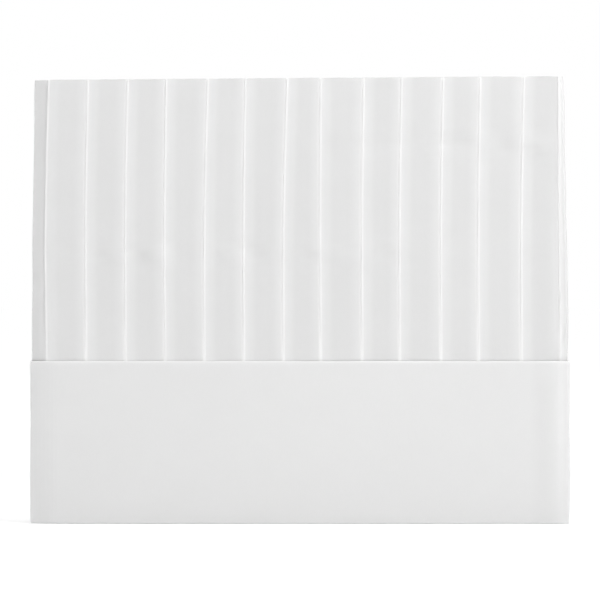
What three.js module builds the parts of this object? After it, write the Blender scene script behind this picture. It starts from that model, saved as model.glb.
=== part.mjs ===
// A pleated paper chef's toque, flat-packed and slightly sprung open, standing on its headband.
// Millimetres. +Z is up, -Y is the front, and the origin is the centre of the head opening in
// the plane of the headband's lower edge.
//
// The tube of pleated paper is hinged round its girth: it lies as a front half and a back half
// that are the same strip of panels turned half a turn about Z. Each half starts at a side fold
// with a narrow return that turns back at the first pleat line, and its panels follow from there.
// Hinge axes run up the inner face of the headband, so neighbours only part as the tube opens.
import * as THREE from 'three';

// Driving dimensions
const PITCH = 20.4;               // between neighbouring pleat lines
const PLEATS_PER_PANEL = [2, 2, 2, 1, 2, 2, 2];
const PAIR_SHIFT = 1.0;           // every second pleat past the middle is creased this much early
const SIDE_RETURN = 9.4;          // side fold to first pleat line
const TAIL = 4.6;                 // last pleat line to the other side fold
const RETURN_TURN = Math.PI * 32 / 180;   // how far the return is turned back
const REST_TURN = Math.PI * 0.5 / 180;    // turn at each panel hinge as packed
const HEIGHT = 230.6;             // at the middle of the hat
const TOP_SLANT = 0.0072;         // rise of the top edge per millimetre towards +X
const BAND_HEIGHT = 84.2;
const CUFF_HEIGHT = 78;           // the headband's inner ply
const PAPER = 0.3;
const LAYER_GAP = 0.15;           // air between the layers of one pleat
const PLY_GAP = 0.2;              // air between the pleated sheet and the headband
const CLEARANCE = 0.15;           // half of the gap between pieces that meet
const UNDERLAP = 6.4;             // hidden depth of each pleat
const UNDERLAP_MARGIN = 1;        // least distance from an underlap to the next pleat line
const DIVE = 0.6;                 // share of the pitch before a facet dips under the next pleat
const LAP_WIDTH = 12;             // headband's glued lap at the rear seam

const PAPER_WHITE = new THREE.Color(0.86, 0.86, 0.86);

// Distances out from the hinge axes to the middle of each layer
const INNER_PLY = CLEARANCE + PAPER / 2;
const LAYER_STEP = PAPER + LAYER_GAP;
const LOW_LAYER = INNER_PLY + PAPER + PLY_GAP;
const MIDDLE_LAYER = LOW_LAYER + LAYER_STEP;
const TOP_LAYER = MIDDLE_LAYER + LAYER_STEP;
const OUTER_PLY = TOP_LAYER + PAPER + PLY_GAP;
const SEAM_PLY = OUTER_PLY + PAPER + PLY_GAP;
const SHEET_FOOT = PAPER + PLY_GAP;   // the pleated sheet stands this far above the band's fold

const FACETS = PLEATS_PER_PANEL.reduce((sum, count) => sum + count, 0);
const MIDDLE_FACET = (FACETS - 1) / 2;
const SEAM_PANEL = (PLEATS_PER_PANEL.length + 1) / 2;   // the rear middle panel starts at the seam

// Distance of pleat line k from the first one
function lineAt(k) {
  const early = k > MIDDLE_FACET && k % 2 === 1 ? PAIR_SHIFT : 0;
  return k * PITCH - early;
}

// The panels of one half, in order from its side fold: first pleat line, pleats and width
function panelsOfHalf() {
  let line = 0;
  return PLEATS_PER_PANEL.map((count, index) => {
    const last = index === PLEATS_PER_PANEL.length - 1;
    const start = lineAt(line);
    const width = lineAt(line + count) - start + (last ? TAIL : 0);
    const lines = Array.from({ length: count + (last ? 1 : 0) }, (_, i) => lineAt(line + i) - start);
    line += count;
    return { width, lines };
  });
}

// Where each strip of one half starts and which way it runs, with the half centred on the axis
function placeHalf() {
  const panels = panelsOfHalf();
  const middle = (panels.length - 1) / 2;
  const strips = [{ width: SIDE_RETURN, lines: [] }, ...panels];
  const at = new THREE.Vector2();
  strips.forEach((strip, index) => {
    const turns = index - 1 - middle;
    strip.heading = index === 0 ? -middle * REST_TURN - RETURN_TURN : turns * REST_TURN;
    strip.start = at.clone();
    at.x += strip.width * Math.cos(strip.heading);
    at.y += strip.width * Math.sin(strip.heading);
  });
  const centre = at.clone().multiplyScalar(0.5);
  strips.forEach((strip) => strip.start.sub(centre));
  return strips;
}

// The outline of a ribbon of even thickness that follows the path, with mitred corners
function ribbon(path, thickness) {
  const steps = path.slice(1).map((p, i) => p.clone().sub(path[i]).normalize());
  const edge = (side) => path.map((p, i) => {
    const before = steps[Math.max(i - 1, 0)];
    const after = steps[Math.min(i, steps.length - 1)];
    const mitre = new THREE.Vector2(-before.y - after.y, before.x + after.x);
    mitre.multiplyScalar(side * thickness / 2 / (1 + before.dot(after)));
    return mitre.add(p);
  });
  return new THREE.Shape([...edge(1), ...edge(-1).reverse()]);
}

// The folded sheet's path across one panel: each pleat is an underlap, its return and a facet
function pleatPath(strip) {
  const end = strip.width - CLEARANCE;
  const edge = CLEARANCE + PAPER / 2;
  const path = [[CLEARANCE, LOW_LAYER]];
  strip.lines.forEach((line, i) => {
    const next = strip.lines[i + 1] ?? strip.width;
    const span = next - line;
    const deep = line + Math.min(UNDERLAP, span - UNDERLAP_MARGIN);
    path.push([deep, LOW_LAYER], [deep, MIDDLE_LAYER]);
    path.push([line + edge, MIDDLE_LAYER], [line + edge, TOP_LAYER]);
    if (span > UNDERLAP) {
      path.push([line + DIVE * span, TOP_LAYER], [next, LOW_LAYER]);
    } else {
      path.push([end, TOP_LAYER]);
    }
  });
  const lastPoint = path[path.length - 1];
  if (lastPoint[0] < end) path.push([end, LOW_LAYER]);
  if (lastPoint[0] > end) lastPoint[0] = end;
  return path.map(([along, out]) => new THREE.Vector2(along, -out));
}

function pleatGeometry(strip, height) {
  const sheet = ribbon(pleatPath(strip), PAPER);
  const geometry = new THREE.ExtrudeGeometry(sheet, { depth: height - SHEET_FOOT, bevelEnabled: false });
  return geometry.translate(0, 0, SHEET_FOOT);
}

// The headband is one strip folded up under the pleats: a cuff inside, an outer ply outside
function bandGeometry(strip) {
  const foot = PAPER / 2;
  const path = [[INNER_PLY, CUFF_HEIGHT], [INNER_PLY, foot], [OUTER_PLY, foot], [OUTER_PLY, BAND_HEIGHT]];
  const section = ribbon(path.map(([out, up]) => new THREE.Vector2(out, up)), PAPER);
  return alongStrip(section, CLEARANCE, strip.width - CLEARANCE);
}

// The free end of the headband's strip, glued over the other end at the rear
function seamLapGeometry() {
  const path = [[SEAM_PLY, PAPER], [SEAM_PLY, BAND_HEIGHT]];
  const section = ribbon(path.map(([out, up]) => new THREE.Vector2(out, up)), PAPER);
  return alongStrip(section, CLEARANCE, LAP_WIDTH);
}

// Extrudes a section drawn as [out from the hinges, up] between two distances along the strip
function alongStrip(section, from, to) {
  const geometry = new THREE.ExtrudeGeometry(section, { depth: to - from, bevelEnabled: false });
  const out = new THREE.Vector3(0, -1, 0);
  const up = new THREE.Vector3(0, 0, 1);
  const back = new THREE.Vector3(-1, 0, 0);
  geometry.applyMatrix4(new THREE.Matrix4().makeBasis(out, up, back));
  return geometry.translate(to, 0, 0);
}

function paperMesh(name, geometry) {
  const material = new THREE.MeshStandardMaterial({ color: PAPER_WHITE, roughness: 0.85, metalness: 0 });
  const mesh = new THREE.Mesh(geometry, material);
  mesh.name = name;
  return mesh;
}

// The height of the hat over a strip, which follows the slanted top edge in steps
function heightOver(strip, facing) {
  const middle = strip.start.x + strip.width / 2 * Math.cos(strip.heading);
  return HEIGHT + TOP_SLANT * middle * facing;
}

// One half of the hat. side names the half, returnSide the side fold that it starts from.
function buildHalf(side, returnSide, facing) {
  const half = new THREE.Group();
  placeHalf().forEach((strip, index) => {
    const label = index === 0 ? `${returnSide}_return` : `${side}_${index}`;
    const place = new THREE.Group();
    place.position.set(strip.start.x, strip.start.y, 0);
    place.rotation.z = strip.heading;
    place.add(paperMesh(`pleats_${label}`, pleatGeometry(strip, heightOver(strip, facing))));
    place.add(paperMesh(`band_${label}`, bandGeometry(strip)));
    half.add(place);
    if (side === 'back' && index === SEAM_PANEL) place.add(paperMesh('band_seam_lap', seamLapGeometry()));
  });
  half.rotation.z = facing === 1 ? 0 : Math.PI;
  return half;
}

const toque = new THREE.Group();
toque.add(buildHalf('front', 'left', 1));
toque.add(buildHalf('back', 'right', -1));

export default toque;
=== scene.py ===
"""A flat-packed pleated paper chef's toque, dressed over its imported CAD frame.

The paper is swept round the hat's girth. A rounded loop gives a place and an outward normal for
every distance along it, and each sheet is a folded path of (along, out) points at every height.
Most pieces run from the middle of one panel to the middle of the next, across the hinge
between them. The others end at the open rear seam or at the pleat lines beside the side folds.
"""

import math

import bpy
import numpy as np
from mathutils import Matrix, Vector, noise


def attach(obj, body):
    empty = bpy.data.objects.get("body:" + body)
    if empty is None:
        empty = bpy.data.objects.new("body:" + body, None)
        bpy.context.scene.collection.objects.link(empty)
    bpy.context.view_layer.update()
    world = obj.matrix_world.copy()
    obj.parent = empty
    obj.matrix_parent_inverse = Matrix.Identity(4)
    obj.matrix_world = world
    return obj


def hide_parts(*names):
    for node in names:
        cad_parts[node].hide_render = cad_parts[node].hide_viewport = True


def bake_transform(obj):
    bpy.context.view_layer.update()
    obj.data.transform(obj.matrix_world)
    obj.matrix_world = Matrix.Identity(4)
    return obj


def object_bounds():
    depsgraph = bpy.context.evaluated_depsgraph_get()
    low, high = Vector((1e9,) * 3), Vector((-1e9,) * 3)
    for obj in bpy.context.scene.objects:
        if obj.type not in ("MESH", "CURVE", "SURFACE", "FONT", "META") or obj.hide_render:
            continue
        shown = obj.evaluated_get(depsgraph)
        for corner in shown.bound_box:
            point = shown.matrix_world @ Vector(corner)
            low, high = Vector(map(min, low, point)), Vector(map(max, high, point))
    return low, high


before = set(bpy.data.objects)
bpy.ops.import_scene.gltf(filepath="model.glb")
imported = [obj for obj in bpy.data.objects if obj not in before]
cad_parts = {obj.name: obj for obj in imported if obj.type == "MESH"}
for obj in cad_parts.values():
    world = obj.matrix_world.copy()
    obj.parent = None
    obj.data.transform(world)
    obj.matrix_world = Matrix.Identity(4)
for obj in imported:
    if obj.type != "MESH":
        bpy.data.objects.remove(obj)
cad_low, cad_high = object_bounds()

MM = 0.001

# Girth layout, as the CAD source has it
PITCH = 20.4 * MM
PLEATS_PER_PANEL = (2, 2, 2, 1, 2, 2, 2)
PAIR_SHIFT = 1.0 * MM
SIDE_RETURN = 9.4 * MM
TAIL = 4.6 * MM
RETURN_TURN = math.radians(32)
REST_TURN = math.radians(0.5)
UNDERLAP = 6.4 * MM
LAP_WIDTH = 12 * MM
PANELS = len(PLEATS_PER_PANEL)
FACETS = sum(PLEATS_PER_PANEL)

# Heights
BAND_HEIGHT = 84.2 * MM
CUFF_HEIGHT = 78 * MM
SHEET_FOOT = 2.2 * MM
HEIGHT = 230.6 * MM
TOP_SLANT = 0.0072

# Paper thickness, and the layers' distances out from the hinge axes
PAPER = 0.09 * MM
INNER_PLY = 0.3 * MM
LOW_LAYER = 0.8 * MM
LAYER_STEP = 0.38 * MM
OUTER_PLY = 2.0 * MM
SEAM_PLY = 2.3 * MM

# How the pleat lines stray: a steady shift, more on the late lines, a bow, and chance near the top
LINE_SHIFT = -0.35 * MM
LATE_LINE = 11
LATE_SHIFT = 0.8 * MM         # for each line past the late one, towards the side fold
BOW = -0.75 * MM
FIRST_BOW = -0.4 * MM         # added on the first line, and fading over the next few
STRAY = 1.9 * MM
STRAY_STEP = 3.9
STRAY_SEED = 16.0
HALF_SEED = 7                 # keeps the two halves' strays apart

# How the hat's outline leans and draws in towards the top
LEAN = 0.85 * MM
LEFT_DRAW = 0.9 * MM
RIGHT_DRAW = 3.6 * MM
LEFT_FROM = 14 * MM           # how far in from the edge each draw starts
RIGHT_FROM = 9 * MM
LEFT_GROWS = 12 * MM          # and the width over which it comes in
RIGHT_GROWS = 8 * MM

# The pleats are held flat in the headband and spring free above it
SPRING_START = 3 * MM         # how far below the headband's top edge that begins
SPRING_RISE = 34 * MM         # the height that it takes

# Dents in the paper, and the two levels at which it is creased across the pleats
DENT = 0.5 * MM
WRINKLE = 1.5 * MM
HIGH_WRINKLES = 196 * MM
LOW_WRINKLES = 139 * MM
HIGH_FROM = 0.48              # share of a half from which the high creases run to its end
LOW_UNTIL = 0.74              # and up to which the low ones run from its start
WRINKLE_SPREAD = 5.5 * MM     # above and below the level
WRINKLE_FADE = 20 * MM        # at both ends

# Corner radii of the loop that the paper is swept round
FOLD_RADIUS = 0.25 * MM
RETURN_RADIUS = 18 * MM
CREASE_RADIUS = 20 * MM
SIDE_FOLD_TURN = math.radians(100)    # a corner that turns further is a side fold
RETURN_END_TURN = math.radians(10)    # one that turns further than this ends a return
CORNER_STEP = 6               # degrees between samples round a corner
LEAST_CORNER_STEPS = 4


def smooth(x):
    """0 below 0, 1 above 1, and an S-curve between."""
    x = np.clip(x, 0.0, 1.0)
    return x * x * (3 - 2 * x)


# ---------------------------------------------------------------- the girth


def line_at(k):
    """Distance of pleat line k from the first one."""
    early = PAIR_SHIFT if k > (FACETS - 1) / 2 and k % 2 == 1 else 0.0
    return k * PITCH - early


HALF = SIDE_RETURN + line_at(FACETS) + TAIL


def line_along(half, k):
    """Distance of a half's pleat line k round the girth; k may be a fraction."""
    whole = int(k)
    start, end = line_at(whole), line_at(whole + 1)
    return half * HALF + SIDE_RETURN + start + (k - whole) * (end - start)


def hinge_lines():
    """The pleat lines at which panels 2, 3 and so on start."""
    starts = [PLEATS_PER_PANEL[0]]
    for count in PLEATS_PER_PANEL[1:-1]:
        starts.append(starts[-1] + count)
    return starts


def half_corners():
    """The half's corners as (distance, turn there), from its side fold on."""
    fold_turn = math.pi - RETURN_TURN - (PANELS - 1) * REST_TURN
    corners = [(0.0, fold_turn), (SIDE_RETURN, RETURN_TURN)]
    return corners + [(SIDE_RETURN + line_at(k), REST_TURN) for k in hinge_lines()]


def heading_vector(angle):
    return np.array([math.cos(angle), math.sin(angle)])


def loop_corners():
    """(distance, turn, point) of every corner of the loop, and the first strip's heading."""
    corners = half_corners()
    first_heading = heading = -(PANELS - 1) / 2 * REST_TURN - RETURN_TURN
    points = [np.zeros(2)]
    ends = [distance for distance, _ in corners[1:]] + [HALF]
    for i, end in enumerate(ends):
        points.append(points[-1] + (end - corners[i][0]) * heading_vector(heading))
        if i + 1 < len(corners):
            heading += corners[i + 1][1]
    centre = points[-1] / 2
    front = [(d, turn, points[i] - centre) for i, (d, turn) in enumerate(corners)]
    back = [(HALF + d, turn, -point) for d, turn, point in front]
    return front + back, first_heading


def corner_radius(turn):
    if turn > SIDE_FOLD_TURN:
        return FOLD_RADIUS
    return RETURN_RADIUS if turn > RETURN_END_TURN else CREASE_RADIUS


def rounded_loop():
    """Rows of distance, x, y and outward normal, twice round the girth with rounded corners."""
    loop, heading = loop_corners()
    angle = heading - loop[0][1]
    rows = []
    for lap in range(2):
        for distance, turn, point in loop:
            radius = corner_radius(turn)
            reach = radius * math.tan(turn / 2)
            centre = point - reach * heading_vector(angle) + radius * heading_vector(angle + math.pi / 2)
            steps = max(LEAST_CORNER_STEPS, int(math.degrees(turn) / CORNER_STEP))
            for i in range(steps + 1):
                normal = heading_vector(angle + turn * i / steps - math.pi / 2)
                along = lap * 2 * HALF + distance - reach + 2 * reach * i / steps
                rows.append((along, *(centre + radius * normal), *normal))
            angle += turn
    return np.array(rows)


GIRTH = rounded_loop()


def girth_point(along, out):
    """The plan position of points at distances along the girth and out from it."""
    x, y, normal_x, normal_y = (np.interp(along, GIRTH[:, 0], GIRTH[:, i]) for i in range(1, 5))
    length = np.hypot(normal_x, normal_y)
    return x + out * normal_x / length, y + out * normal_y / length


# ---------------------------------------------------------------- how the paper lies


def rise_share(height):
    """0 at the headband's top edge and below, 1 at the top of the hat."""
    return float(np.clip((height - BAND_HEIGHT) / (HEIGHT - BAND_HEIGHT), 0, 1))


def relief(height):
    """How free the pleats are to spring out: held flat in the headband, and loose above it."""
    return float(smooth((height - BAND_HEIGHT + SPRING_START) / SPRING_RISE))


def top_at(x):
    return HEIGHT + TOP_SLANT * x


def narrowed(x, height):
    """The hat leans a little to the right towards the top, and its two folds draw in."""
    share = rise_share(height)
    near_left = smooth((LEFT_FROM + cad_low[0] - x) / LEFT_GROWS)
    near_right = smooth((x - cad_high[0] + RIGHT_FROM) / RIGHT_GROWS)
    return x + share * (LEAN + LEFT_DRAW * near_left) - RIGHT_DRAW * share**1.3 * near_right


def girth_noise(along, height, rate, rise, seed):
    """Noise over the paper that closes on itself round the girth."""
    angle = math.pi * along / HALF
    radius = rate * HALF / math.pi
    return noise.noise(Vector((radius * math.cos(angle), radius * math.sin(angle), seed + height * rise)))


def wander(half, k, height):
    """How far a pleat line strays sideways at a height. Half 2 is half 0 again."""
    share = rise_share(height)
    chance = noise.noise(Vector((k * STRAY_STEP, STRAY_SEED + HALF_SEED * (half % 2), 0.0)))
    bow = BOW + FIRST_BOW * math.exp(-k)
    shift = LINE_SHIFT + LATE_SHIFT * max(0, k - LATE_LINE)
    return shift + bow * math.sin(math.pi * share) + STRAY * chance * share**2


def wrinkles(along, height, level, first, last):
    """Small dents along one level of the pleats, between two distances round a half."""
    place = np.mod(along, HALF)
    inside = smooth((place - first) / WRINKLE_FADE) * smooth((last - place) / WRINKLE_FADE)
    near = math.exp(-(((height - level) / WRINKLE_SPREAD) ** 2))
    return inside * near * girth_noise(along, height, rate=75, rise=130, seed=5.0)


def ripple(along, height):
    """Soft wrinkles that run across the pleats, and broader dents."""
    across = girth_noise(along, height, rate=9, rise=30, seed=3.0)
    broad = girth_noise(along, height, rate=22, rise=14, seed=11.0)
    high = wrinkles(along, height, HIGH_WRINKLES, HIGH_FROM * HALF, HALF)
    low = wrinkles(along, height, LOW_WRINKLES, 0, LOW_UNTIL * HALF)
    return (DENT * (across + broad) + WRINKLE * (high + low)) * relief(height)


# Samples along one pleat, and along the strip beside a side fold
FLAP_SAMPLES = 5
TURN_SAMPLES = 7
FACET_SAMPLES = 24
RETURN_SAMPLES = 24
RETURN_CROWDING = 1.8         # samples crowd towards the side fold

CREASE_ROUND = 0.047 * MM     # radius of the visible folds
TUCK_GAP = 0.03 * MM          # air between a tucked facet and the fold above it
CREST = 0.2 * MM              # how far a free fold edge springs up
CREST_WIDTH = 2.2 * MM
LOOSE_STEP = 0.22 * MM        # how much further apart the layers lie where they are free
LOOSE_SPREAD = 0.2 * MM       # and how much more at the top
SHELF_DROP = 0.12 * MM        # from over the underlap to the single paper past it
DROP_BEFORE = 2.8 * MM        # how far before the underlap's end the drop begins
SHADE_BEFORE = 2.6 * MM       # how far before it the white of its layers fades
SHELF_LENGTH = 3.4 * MM       # the width that each of them takes
SETTLED = 0.625               # share of the underlap by which it lies on the low layer
DIP_START = 0.62              # share of a facet before it dips under the next pleat
DIP_SHORT = 0.1 * MM          # how much less than its tuck it dips
UNDERLAP_MARGIN = 1.2 * MM    # least distance from an underlap to the next pleat line
STACK_SWELL = 0.9 * MM        # of the facet over the layers that are stacked beside the side fold
SWELL_FROM = 0.25             # share of that facet at which the swell starts
SWELL_GROWS = 0.5             # share over which it comes up
SWELL_FALLS = 0.22            # share over which it goes down to the next line
LAST_DROP = 0.85              # share of the last facet by which it is down at the single layer
SIDE_LIFT = 0.25 * MM         # of the single layer at a side fold
SIDE_SPRING = 0.5 * MM        # and how much more where it is free


def tuck_depth():
    """How far below its neighbour's fold edge a facet slips under it."""
    return 2 * CREASE_ROUND + PAPER + TUCK_GAP


def facet_height(u, width, step, free):
    """A facet's height above the low layer at distance u past its fold edge."""
    crest = CREST * free * math.exp(-u / CREST_WIDTH)
    shelf_end = SHELF_DROP * float(smooth((u - UNDERLAP + DROP_BEFORE) / SHELF_LENGTH))
    dip_start = DIP_START * width
    dip = float(np.clip((u - dip_start) / (width - dip_start), 0, 1)) ** 2
    return 2 * step + crest - shelf_end - dip * (tuck_depth() - DIP_SHORT)


def half_turn(centre_along, centre_out, radius, side):
    """Points round a fold: side 1 turns back at the far end, side -1 at the near end."""
    angles = [-math.pi / 2 + math.pi * i / (TURN_SAMPLES - 1) for i in range(TURN_SAMPLES)]
    return [(centre_along + side * radius * math.cos(a), centre_out + radius * math.sin(a)) for a in angles]


# How white each facet is painted: over the underlap and over the next pleat's plies, painted light in place
# of light through the stacked paper; at a tucked end, painted light against the shade under the fold above;
# on a pressed fold, a painted highlight
SHELF_PAINTED_LIGHT = 0.31
SHELF_FADE = 0.22
TUCK_PAINTED_LIGHT = 0.85
NEXT_PLIES_PAINTED_LIGHT = 0.3
NEXT_START = 0.67             # share of the facet
FOLD_WIDTH = 0.55 * MM
TUCK_WIDTH = 0.75 * MM
FLAP_WHITE = 0.2
LAST_PAINTED_LIGHT = 0.3              # painted light added to the last facet at its top
LAST_PAINTED_SHADE = 0.15             # and painted shade towards the side fold
LINE_PAINTED_HIGHLIGHT = 0.7              # painted highlight of a return at its pleat line, then painted light beside it
NEAR_LINE_PAINTED_LIGHT = 0.25
LINE_WIDTH = 0.6 * MM
NEAR_WIDTH = 2.2 * MM
RETURN_PAINTED_SHADE = 0.05           # painted shade on a return towards the side fold


def layer_share(k, u, width):
    """How white pleat k's facet is painted at distance u past its fold edge: 0 over single paper,
    more over its underlap's stacked paper as painted light, and 1 on the pressed fold as a painted
    highlight. Its far end gets painted light where it is tucked in, and over the next pleat's plies, which
    the last two facets don't have."""
    past_shelf = float(smooth((u - UNDERLAP + SHADE_BEFORE) / SHELF_LENGTH))
    # Painted light over the underlap's stacked paper, fading past its end.
    shelf = (SHELF_PAINTED_LIGHT - SHELF_FADE * u / UNDERLAP) * (1 - past_shelf)
    # The pressed fold is painted near full white, a painted highlight.
    white = max(shelf, 0.0) + math.exp(-((u / FOLD_WIDTH) ** 2))
    # Painted light on the tucked end, against the shade under the fold above it.
    if k < FACETS:
        white += TUCK_PAINTED_LIGHT * math.exp(-(((width - u) / TUCK_WIDTH) ** 2))
    # Painted light over the next pleat's plies under the far end.
    if k < FACETS - 1:
        white += NEXT_PLIES_PAINTED_LIGHT * max(0.0, (u / width - NEXT_START) / (1 - NEXT_START)) ** 1.3
    return min(1.0, white)


def stack_swell(share, height):
    """The last facet but one rises over the layers stacked under it, less towards the top."""
    over_stack = float(smooth((share - SWELL_FROM) / SWELL_GROWS) * smooth((1 - share) / SWELL_FALLS))
    return STACK_SWELL * (1 - rise_share(height)) ** 0.7 * over_stack


def pleat_path(half, k, height):
    """(along, out, share of stacked-paper whiteness and painted light) points of pleat k, from its line to
    the next one.
    """
    free = relief(height)
    step = LAYER_STEP + free * (LOOSE_STEP + LOOSE_SPREAD * rise_share(height))
    last = k == FACETS
    start = line_along(half, k) + wander(half, k, height)
    end = (half + 1) * HALF if last else line_along(half, k + 1) + wander(half, k + 1, height)
    depth = min(UNDERLAP, end - start - UNDERLAP_MARGIN)
    radius = step / 2
    top = LOW_LAYER + 2 * step + CREST * free
    tucked = side_lift(height) if k == 0 else 2 * step - tuck_depth()
    path = []
    for i in range(FLAP_SAMPLES):
        share = i / FLAP_SAMPLES
        tuck = tucked * (1 - float(smooth(share / SETTLED)))
        # The flap's first point carries the tucked end's painted light.
        path.append((start + share * (depth - radius), LOW_LAYER + tuck, 1.0 if i == 0 else FLAP_WHITE))
    path += [(*p, FLAP_WHITE) for p in half_turn(start + depth - radius, LOW_LAYER + radius, radius, 1)]
    for i in range(1, FLAP_SAMPLES):
        share = i / FLAP_SAMPLES
        rise = (top - 2 * CREASE_ROUND - LOW_LAYER - step) * float(smooth(share))
        back_at = start + depth - radius - share * (depth - radius - CREASE_ROUND)
        path.append((back_at, LOW_LAYER + step + rise, FLAP_WHITE))
    # The visible fold is painted full white, a painted highlight.
    path += [(*p, 1.0) for p in half_turn(start + CREASE_ROUND, top - CREASE_ROUND, CREASE_ROUND, -1)]
    width = end - start - CREASE_ROUND
    for i in range(1, FACET_SAMPLES):
        even = i / FACET_SAMPLES
        u = width * (0.4 * even + 0.3 * (1 - math.cos(math.pi * even)))
        if last:
            down = float(smooth(u / width / LAST_DROP))
            out = LOW_LAYER + 2 * step - (2 * step - side_lift(height)) * down
        else:
            out = LOW_LAYER + facet_height(u, width, step, free)
            if k == FACETS - 1:
                out += stack_swell(u / width, height)
        white = layer_share(k, u, width)
        # The last facet gets painted light at its top and painted shade towards the side fold.
        if last:
            white += LAST_PAINTED_LIGHT * rise_share(height) ** 2 - LAST_PAINTED_SHADE * even
        path.append((start + CREASE_ROUND + u, out, white))
    return path


def side_lift(height):
    """How far the single layer at a side fold stands above the low layer."""
    return SIDE_LIFT + SIDE_SPRING * relief(height)


def return_path(half, height):
    """(along, out, share of painted light and painted shade) points from a side fold to the first pleat
    line.
    """
    line = line_along(half, 0) + wander(half, 0, height)
    start = half * HALF
    path = []
    for i in range(RETURN_SAMPLES):
        share = (i / RETURN_SAMPLES) ** RETURN_CROWDING
        to_line = (1 - share) * SIDE_RETURN
        # Painted highlight at the pleat line, painted light beside it, and painted shade towards the side
        # fold.
        white = LINE_PAINTED_HIGHLIGHT * math.exp(-((to_line / LINE_WIDTH) ** 2))
        white += NEAR_LINE_PAINTED_LIGHT * math.exp(-((to_line / NEAR_WIDTH) ** 2))
        white -= RETURN_PAINTED_SHADE * (1 - share)
        path.append((start + share * (line - start), LOW_LAYER + side_lift(height), white))
    return path


def loop_path(height):
    """The sheet's whole path at one height, and the index at which each pleat starts."""
    path, starts = [], {}
    for half in (0, 1, 2):
        if half > 0:
            path += return_path(half, height)
        for k in range(FACETS + 1 if half < 2 else 1):
            starts[half, k] = len(path)
            path += pleat_path(half, k, height)
    return path, starts


# ---------------------------------------------------------------- meshes


def unit(vectors):
    return vectors / np.maximum(np.linalg.norm(vectors, axis=-1, keepdims=True), 1e-12)


def grid_normals(grid):
    """Outward normals of a grid whose columns run round the girth and whose rows run up."""
    return unit(np.cross(np.gradient(grid, axis=1), np.gradient(grid, axis=0)))


def shell_faces(rows, columns):
    """Quads of a closed sheet: outer side, inner side and the four rims."""
    outer = np.arange(rows * columns).reshape(rows, columns)
    inner = outer + rows * columns

    def quads(a, b, c, d):
        return np.stack([a, b, c, d], axis=-1).reshape(-1, 4)

    return [
        quads(outer[:-1, :-1], outer[:-1, 1:], outer[1:, 1:], outer[1:, :-1]),
        quads(inner[:-1, 1:], inner[:-1, :-1], inner[1:, :-1], inner[1:, 1:]),
        quads(inner[0, :-1], inner[0, 1:], outer[0, 1:], outer[0, :-1]),
        quads(outer[-1, :-1], outer[-1, 1:], inner[-1, 1:], inner[-1, :-1]),
        quads(inner[:-1, 0], outer[:-1, 0], outer[1:, 0], inner[1:, 0]),
        quads(outer[:-1, -1], inner[:-1, -1], inner[1:, -1], outer[1:, -1]),
    ]


LEAST_WHITE = 0.2             # what a layer share of 0 shows as


def paper_shell(name, grid, normals, layers_and_painted_light, material):
    """A closed sheet of paper round a grid of mid-surface points, with its exact normals."""
    rows, columns = grid.shape[:2]
    points = np.concatenate([(grid + side * PAPER / 2 * normals).reshape(-1, 3) for side in (1, -1)])
    groups = shell_faces(rows, columns)
    faces = np.concatenate(groups)
    mesh = bpy.data.meshes.new(name)
    mesh.from_pydata(points.tolist(), [], faces.tolist())
    mesh.materials.append(material)
    # The attribute holds painted light: whiter stacked paper in place of light through it, painted
    # highlights on folds and edges, and painted light and shade beside them.
    attribute = mesh.attributes.new("layers_and_painted_light", "FLOAT", "POINT")
    whiteness = np.clip(LEAST_WHITE + (1 - LEAST_WHITE) * layers_and_painted_light.reshape(-1), 0, 1)
    attribute.data.foreach_set("value", np.tile(whiteness, 2).astype(np.float32))
    side_normals = np.concatenate([normals.reshape(-1, 3), -normals.reshape(-1, 3)])
    corners = points[faces]
    flat = unit(np.cross(corners[:, 2] - corners[:, 0], corners[:, 3] - corners[:, 1]))
    corner_normals = side_normals[faces]
    sides = len(groups[0]) + len(groups[1])
    corner_normals[sides:] = flat[sides:, None, :]
    mesh.polygons.foreach_set("use_smooth", np.ones(len(faces), bool))
    mesh.normals_split_custom_set(corner_normals.reshape(-1, 3).tolist())
    piece = bpy.data.objects.new(name, mesh)
    bpy.context.scene.collection.objects.link(piece)
    return piece


def flat_size(grid):
    """Width round the girth and height of the flat sheet that a grid was folded from."""
    middle = grid[len(grid) // 2]
    across = np.linalg.norm(np.diff(middle, axis=0), axis=1).sum()
    column = grid[:, grid.shape[1] // 2]
    up = np.linalg.norm(np.diff(column, axis=0), axis=1).sum()
    return float(across), float(up)


# ---------------------------------------------------------------- materials


def add_node(tree, kind, **inputs):
    node = tree.nodes.new(kind)
    for name, value in inputs.items():
        node.inputs[name.replace("_", " ")].default_value = value
    return node


def mix_colour(tree, factor, first, second, blend_type="MIX"):
    node = tree.nodes.new("ShaderNodeMix")
    node.data_type = "RGBA"
    node.blend_type = blend_type
    for socket, value in ((node.inputs[0], factor), (node.inputs[6], first), (node.inputs[7], second)):
        if isinstance(value, bpy.types.NodeSocket):
            tree.links.new(value, socket)
        else:
            socket.default_value = value
    return node.outputs[2]


def grey(level):
    return (level, level, level, 1.0)


CLOUD_CONTRAST = 0.035
FIBRE_CONTRAST = 0.05


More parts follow.
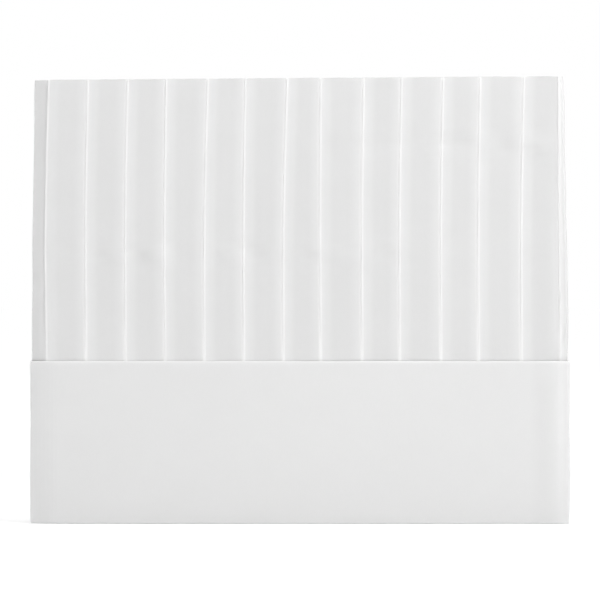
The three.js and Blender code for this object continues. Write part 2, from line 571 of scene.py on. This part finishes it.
def paper_material(name, thin, thick, roughness):
    """Matt paper with a fine fibre grain and cloudy formation, mixed from a thin and a thick grey by
    painted light: whiter stacked paper in place of light through it, and painted highlights and painted
    shade at folds and edges.
    """
    material = bpy.data.materials.new(name)
    material.use_nodes = True
    tree = material.node_tree
    link = tree.links.new
    shader = tree.nodes["Principled BSDF"]
    shader.inputs["Roughness"].default_value = roughness
    shader.inputs["Specular IOR Level"].default_value = 0.3
    place = tree.nodes.new("ShaderNodeTexCoord").outputs["Object"]

    # The painted-light attribute mixes the thin and thick greys.
    layers_and_painted_light = tree.nodes.new("ShaderNodeAttribute")
    layers_and_painted_light.attribute_name = "layers_and_painted_light"
    base = mix_colour(tree, layers_and_painted_light.outputs["Fac"], grey(thin), grey(thick))

    cloud = add_node(tree, "ShaderNodeTexNoise", Scale=70.0, Detail=3.0)
    link(place, cloud.inputs["Vector"])
    base = mix_colour(tree, CLOUD_CONTRAST, base, cloud.outputs["Fac"], "OVERLAY")

    stretch = add_node(tree, "ShaderNodeMapping", Scale=(1.0, 1.0, 0.3))
    link(place, stretch.inputs["Vector"])
    fibres = add_node(tree, "ShaderNodeTexNoise", Scale=1500.0, Detail=4.0, Roughness=0.65)
    link(stretch.outputs["Vector"], fibres.inputs["Vector"])
    base = mix_colour(tree, FIBRE_CONTRAST, base, fibres.outputs["Fac"], "OVERLAY")
    link(base, shader.inputs["Base Color"])

    bump = add_node(tree, "ShaderNodeBump", Strength=0.12, Distance=0.05 * MM)
    link(fibres.outputs["Fac"], bump.inputs["Height"])
    link(bump.outputs["Normal"], shader.inputs["Normal"])
    return material


PLEAT_PAPER = paper_material("pleated_paper", thin=0.68, thick=0.95, roughness=0.82)
BAND_PAPER = paper_material("headband_paper", thin=0.705, thick=0.95, roughness=0.85)


# ---------------------------------------------------------------- the pleated sheet

PLEAT_ROWS = 64
TOP_LEAN = 14 * MM            # height over which the free top edge leans in
EDGE_LEAN = 0.35 * MM         # how far it leans in


def pleated_sheet():
    """The whole sheet as a grid, its normals, its shares of whiteness and painted light, and where each
    pleat starts.
    """
    grid, shares = [], []
    for row in range(PLEAT_ROWS):
        share = row / (PLEAT_ROWS - 1)
        height = SHEET_FOOT + share * (HEIGHT - SHEET_FOOT)
        path, starts = loop_path(height)
        along, out, layers_and_painted_light = np.array(path).T
        dents = np.array([ripple(a, height) for a in along])
        lean = EDGE_LEAN * max(0.0, (height - HEIGHT + TOP_LEAN) / TOP_LEAN) ** 2
        free = np.clip((out - LOW_LAYER) / LAYER_STEP, 0, 1)
        x, y = girth_point(along, out + (dents - lean) * free)
        z = SHEET_FOOT + share * (top_at(x) - SHEET_FOOT)
        grid.append(np.stack([narrowed(x, height), y, z], axis=-1))
        shares.append(layers_and_painted_light)
    grid = np.array(grid)
    return grid, grid_normals(grid), np.array(shares), starts


# ---------------------------------------------------------------- the headband

FOOT_SAMPLES = 8
CUFF_ROWS = 8
PLY_ROWS = 26
LAP_ROWS = 24
LAP_COLUMNS = 12
COLUMN_STEP = 1.7 * MM
LEAST_STEP = 0.01 * MM        # columns nearer to each other than this are merged
BAND_WAVE = 0.3 * MM
STACK_OUT = 1.5 * MM          # how far the outer ply stands off over the stacked last pleat
STACK_SPREAD = 0.5 * MM       # and how much further at its top
STACK_FROM = 19 * MM          # how far before the side fold that starts
STACK_GROWS = 12 * MM         # the width over which it comes up
STACK_FALLS = 6.5 * MM        # the width over which it goes down to the fold
TOP_PRESS = 0.55              # share of that which is pressed flat at the top edge
PRESS_DEPTH = 7 * MM
EDGE_CURL = 0.16 * MM         # the top of the outer ply curls out
CURL_DEPTH = 5 * MM
EDGE_TURN = 0.3 * MM          # and its very edge turns in
TURN_DEPTH = 0.7 * MM
BELLY = 0.35 * MM             # outwards at half height, except beside the side folds
BELLY_FADE = 5 * MM
FOOT_TUCK = 0.25 * MM         # inwards above the bottom fold
TUCK_HEIGHT = 6 * MM
BAND_WHITE = 0.13             # the headband's layer share; its top edge adds a painted highlight, its bottom fold adds painted light, and its waves add a little white
EDGE_PAINTED_HIGHLIGHT = 0.8
EDGE_WIDTH = 0.6 * MM
BOTTOM_PAINTED_LIGHT = 0.1
BOTTOM_WIDTH = 0.8 * MM
WAVE_WHITE = 0.05
LAP_WHITE = 0.15
LAP_FOOT = 0.9 * MM           # the lap's lower edge
LAP_OVERHANG = 1.2 * MM       # how far the lap reaches back past the seam


def band_section():
    """(out share, height) points of the strip's section, from the cuff's edge to the top edge.
    The share is 0 on the inner ply and 1 on the outer one."""
    radius = (OUTER_PLY - INNER_PLY) / 2 * 0.8
    section = [(0.0, CUFF_HEIGHT + (radius - CUFF_HEIGHT) * i / CUFF_ROWS) for i in range(CUFF_ROWS)]
    for i in range(FOOT_SAMPLES + 1):
        a = math.pi * i / FOOT_SAMPLES
        section.append(((1 - math.cos(a)) / 2, radius * (1 - math.sin(a)) + PAPER / 2))
    even = [radius + (BAND_HEIGHT - radius) * i / PLY_ROWS for i in range(1, PLY_ROWS)]
    near_edge = [BAND_HEIGHT - gap * MM for gap in (2.4, 1.6, 1.0, 0.6, 0.3, 0.0)]
    return section + [(1.0, height) for height in sorted(even + near_edge)]


def band_swell(along, height):
    """How far the outer ply stands off: over the stacked last pleat, less where it is pressed
    near its top edge, and along that edge, at half height and above the bottom fold."""
    past_fold = np.mod(along, HALF)
    to_fold = HALF - past_fold
    stack = smooth((STACK_FROM - to_fold) / STACK_GROWS) * smooth(to_fold / STACK_FALLS)
    up = height / BAND_HEIGHT
    below_edge = BAND_HEIGHT - height
    curl = EDGE_CURL * math.exp(-below_edge / CURL_DEPTH) - EDGE_TURN * math.exp(-below_edge / TURN_DEPTH)
    near_fold = np.minimum(to_fold, past_fold)
    belly = BELLY * math.sin(math.pi * min(up, 1.0)) * smooth(near_fold / BELLY_FADE)
    tuck = -FOOT_TUCK * math.exp(-height / TUCK_HEIGHT)
    pressed = TOP_PRESS * math.exp(-below_edge / PRESS_DEPTH)
    return (STACK_OUT + STACK_SPREAD * up) * (1 - pressed) * stack + curl + belly + tuck


def band_wave(columns, height):
    """The headband's slow waves, from about -1 to 1."""
    return np.array([girth_noise(along, height, rate=7, rise=11, seed=20.0) for along in columns])


def band_columns():
    """Distances round the girth at which the headband is sampled."""
    even = np.arange(line_along(0, 0), 2 * HALF + SIDE_RETURN, COLUMN_STEP)
    round_folds = GIRTH[(GIRTH[:, 0] > even[0]) & (GIRTH[:, 0] < 2 * HALF + SIDE_RETURN), 0]
    borders = [line_along(half, k) for half in (0, 1) for k in BORDERS] + [line_along(2, 0)]
    columns = np.unique(np.concatenate([even, round_folds, borders]))
    keep = np.concatenate([[True], np.diff(columns) > LEAST_STEP])
    return columns[keep]


def headband():
    """The headband as a grid with its normals and its shares of whiteness and painted light, and its
    columns' distances.
    """
    columns = band_columns()
    grid, shares = [], []
    for ply, height in band_section():
        wave = band_wave(columns, height)
        swell = band_swell(columns, height) + BAND_WAVE * wave
        out = INNER_PLY + ply * (OUTER_PLY - INNER_PLY + swell)
        x, y = girth_point(columns, out)
        grid.append(np.stack([x, y, np.full_like(x, height)], axis=-1))
        # Painted highlight along the outer ply's top edge, and painted light at the bottom fold.
        edge = EDGE_PAINTED_HIGHLIGHT * math.exp(-(BAND_HEIGHT - height) / EDGE_WIDTH) if ply == 1.0 else 0.0
        bottom = BOTTOM_PAINTED_LIGHT * math.exp(-height / BOTTOM_WIDTH)
        shares.append(np.clip(BAND_WHITE + edge + bottom + WAVE_WHITE * wave, 0, 1))
    grid = np.array(grid)
    return grid, grid_normals(grid), np.array(shares), columns


def seam_lap():
    """The strip's free end, glued over the other end at the rear."""
    seam = line_along(1, SEAM_LINE)
    columns = np.linspace(seam - LAP_OVERHANG, seam + LAP_WIDTH, LAP_COLUMNS)
    grid = []
    for row in range(LAP_ROWS):
        height = LAP_FOOT + (BAND_HEIGHT - LAP_FOOT) * row / (LAP_ROWS - 1)
        wave = band_wave(columns, height)
        out = SEAM_PLY + band_swell(columns, height) + BAND_WAVE * wave
        x, y = girth_point(columns, out)
        grid.append(np.stack([x, y, np.full_like(x, height)], axis=-1))
    grid = np.array(grid)
    return grid, grid_normals(grid), np.full(grid.shape[:2], LAP_WHITE)


# ---------------------------------------------------------------- pieces and the bodies they follow

SIDES = ("front", "back")
RETURNS = ("left", "right")
MIDDLE_PANEL = (PANELS + 1) // 2
SEAM_LINE = hinge_lines()[MIDDLE_PANEL - 2]     # the rear middle panel starts at the open seam


def panel_centres():
    """Where one piece hands over to the next: the pleat line or facet at each panel's middle."""
    firsts = [0] + hinge_lines()
    return [first + count / 2 for first, count in zip(firsts, PLEATS_PER_PANEL)]


CENTRES = panel_centres()
BORDERS = sorted({0, *CENTRES, SEAM_LINE, FACETS})


def spans_of_half(half):
    """(first line, last line, panels, hinge line) of each piece of one half. No piece crosses the
    open rear seam, so the pieces beside it reach up to it."""
    spans = [[0, CENTRES[0], [1], None]]
    for i, hinge in enumerate(hinge_lines()):
        if half == 0 or hinge != SEAM_LINE:
            spans.append([CENTRES[i], CENTRES[i + 1], [i + 1, i + 2], hinge])
    spans.append([CENTRES[-1], FACETS, [PANELS], None])
    for before, after in zip(spans, spans[1:]):
        if before[1] != after[0]:
            before[1] = after[0] = SEAM_LINE
    return spans


def follow(piece, half, panels, hinge):
    """Makes a piece ride on its panel; a piece across a hinge between two panels is baked where it stands
    and rides on no body.
    """
    bodies = [f"{SIDES[half]}_panel_{panel}" for panel in panels]
    if hinge is None:
        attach(piece, bodies[0])
        return
    middle = line_along(half, hinge)
    centres = [line_along(half, CENTRES[panel - 1]) for panel in panels]
    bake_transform(piece)


def finish_piece(grid, nodes):
    """Hides the CAD nodes that a piece stands for, and works out its flat size, which is not kept."""
    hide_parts(*nodes)
    flat_size(grid)


def cut(parts, columns):
    first, last = columns
    return [part[:, first:last + 1] for part in parts]


def build_span(sheet, material, parts, half, span, columns):
    """One piece of a sheet, between two columns of its grid."""
    first, last, panels, hinge = span
    grid, normals, shares = cut(parts, columns)
    name = f"{sheet}_sheet_{SIDES[half]}_{'_'.join(str(panel) for panel in panels)}"
    piece = paper_shell(name, grid, normals, shares, material)
    follow(piece, half, panels, hinge)
    finish_piece(grid, [f"{sheet}_{SIDES[half]}_{panel}" for panel in panels])


def build_fold(sheet, material, parts, half, columns):
    """The piece that runs round a side fold, from the last pleat line to the next half's first."""
    ahead = 1 - half
    grid, normals, shares = cut(parts, columns)
    piece = paper_shell(f"{sheet}_sheet_{RETURNS[ahead]}_fold", grid, normals, shares, material)
    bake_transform(piece)
    finish_piece(grid, [f"{sheet}_{RETURNS[ahead]}_return"])


def build_sheet(sheet, material, parts, column):
    """Every piece of a sheet; column gives the grid column of a half's pleat line."""
    for half in (0, 1):
        for span in spans_of_half(half):
            columns = column(half, span[0]), column(half, span[1])
            build_span(sheet, material, parts, half, span, columns)
        build_fold(sheet, material, parts, half, (column(half, FACETS), column(half + 1, 0)))


def build_pleats():
    *parts, starts = pleated_sheet()
    to_facet_middle = 2 * FLAP_SAMPLES - 1 + 2 * TURN_SAMPLES + FACET_SAMPLES // 2

    def column(half, line):
        whole = int(line)
        return starts[half, whole] + (to_facet_middle if line > whole else 0)

    build_sheet("pleats", PLEAT_PAPER, parts, column)


def build_band():
    *parts, distances = headband()

    def column(half, line):
        return int(np.argmin(np.abs(distances - line_along(half, line))))

    build_sheet("band", BAND_PAPER, parts, column)
    grid, normals, shares = seam_lap()
    lap = paper_shell("band_sheet_seam_lap", grid, normals, shares, BAND_PAPER)
    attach(lap, f"back_panel_{MIDDLE_PANEL}")
    finish_piece(grid, ["band_seam_lap"])


# ---------------------------------------------------------------- studio

CAMERA_DISTANCE = 3.0
CAMERA_X = 0.0002
SEEN_WIDTH = 0.3102           # across the picture, at the hat's front
SENSOR = 36.0
FLOOR_REACH = 60.0
FLOOR_GLOW = 0.15             # near the hat; it rises to 1 between the two distances below
GLOW_START = 0.9
GLOW_END = 2.4
LIGHT_AIM = (0, 0, 0.12)

# Name, place, size and power of each soft light
LIGHTS = (
    ("key", (1.5, -1.7, 1.3), 1.0, 24.5),
    ("left", (-2.5, 0.15, 0.6), 1.2, 20.5),
    ("top", (0.2, -0.2, 2.4), 2.4, 71),
    ("back_left", (-2.0, 2.4, 1.2), 2.0, 12),
    ("back_right", (2.2, 2.2, 1.2), 2.0, 12),
)


def build_camera():
    data = bpy.data.cameras.new("camera")
    data.sensor_width = SENSOR
    front = cad_low[1]
    data.lens = SENSOR * CAMERA_DISTANCE / SEEN_WIDTH
    camera = bpy.data.objects.new("camera", data)
    camera.location = (CAMERA_X, front - CAMERA_DISTANCE, (cad_low[2] + cad_high[2]) / 2)
    camera.rotation_euler = (math.radians(90), 0, 0)
    bpy.context.scene.collection.objects.link(camera)
    bpy.context.scene.camera = camera


def area_light(name, place, size, power):
    data = bpy.data.lights.new(name, "AREA")
    data.size = size
    data.energy = power
    light = bpy.data.objects.new(name, data)
    light.location = place
    light.rotation_euler = (Vector(LIGHT_AIM) - Vector(place)).to_track_quat("-Z", "Y").to_euler()
    light.visible_camera = False
    bpy.context.scene.collection.objects.link(light)


def floor_material():
    """Matt white that glows more and more away from the hat, so that no horizon shows."""
    material = bpy.data.materials.new("floor_white")
    material.use_nodes = True
    shader = material.node_tree.nodes["Principled BSDF"]
    shader.inputs["Base Color"].default_value = grey(0.85)
    shader.inputs["Roughness"].default_value = 0.9
    shader.inputs["Specular IOR Level"].default_value = 0.0
    shader.inputs["Emission Color"].default_value = grey(1.0)
    place = material.node_tree.nodes.new("ShaderNodeTexCoord").outputs["Object"]
    distance = material.node_tree.nodes.new("ShaderNodeVectorMath")
    distance.operation = "LENGTH"
    material.node_tree.links.new(place, distance.inputs[0])
    limits = {"From_Min": GLOW_START, "From_Max": GLOW_END, "To_Min": FLOOR_GLOW}
    glow = add_node(material.node_tree, "ShaderNodeMapRange", **limits)
    material.node_tree.links.new(distance.outputs["Value"], glow.inputs["Value"])
    material.node_tree.links.new(glow.outputs["Result"], shader.inputs["Emission Strength"])
    return material


def build_floor():
    reach = FLOOR_REACH
    corners = [(-reach, -reach, 0), (reach, -reach, 0), (reach, reach, 0), (-reach, reach, 0)]
    mesh = bpy.data.meshes.new("floor")
    mesh.from_pydata(corners, [], [(0, 1, 2, 3)])
    mesh.materials.append(floor_material())
    floor = bpy.data.objects.new("floor", mesh)
    bpy.context.scene.collection.objects.link(floor)


def build_surround():
    """A white surround that the camera sees, and that doesn't light the hat."""
    world = bpy.data.worlds.new("surround")
    bpy.context.scene.world = world
    world.use_nodes = True
    world.node_tree.nodes["Background"].inputs["Color"].default_value = grey(1.0)
    world.node_tree.nodes["Background"].inputs["Strength"].default_value = 1.0
    world.cycles_visibility.diffuse = False
    world.cycles_visibility.glossy = False
    bpy.context.scene.view_settings.view_transform = "Standard"


build_camera()
build_floor()
build_surround()
for light in LIGHTS:
    area_light(*light)
build_pleats()
build_band()
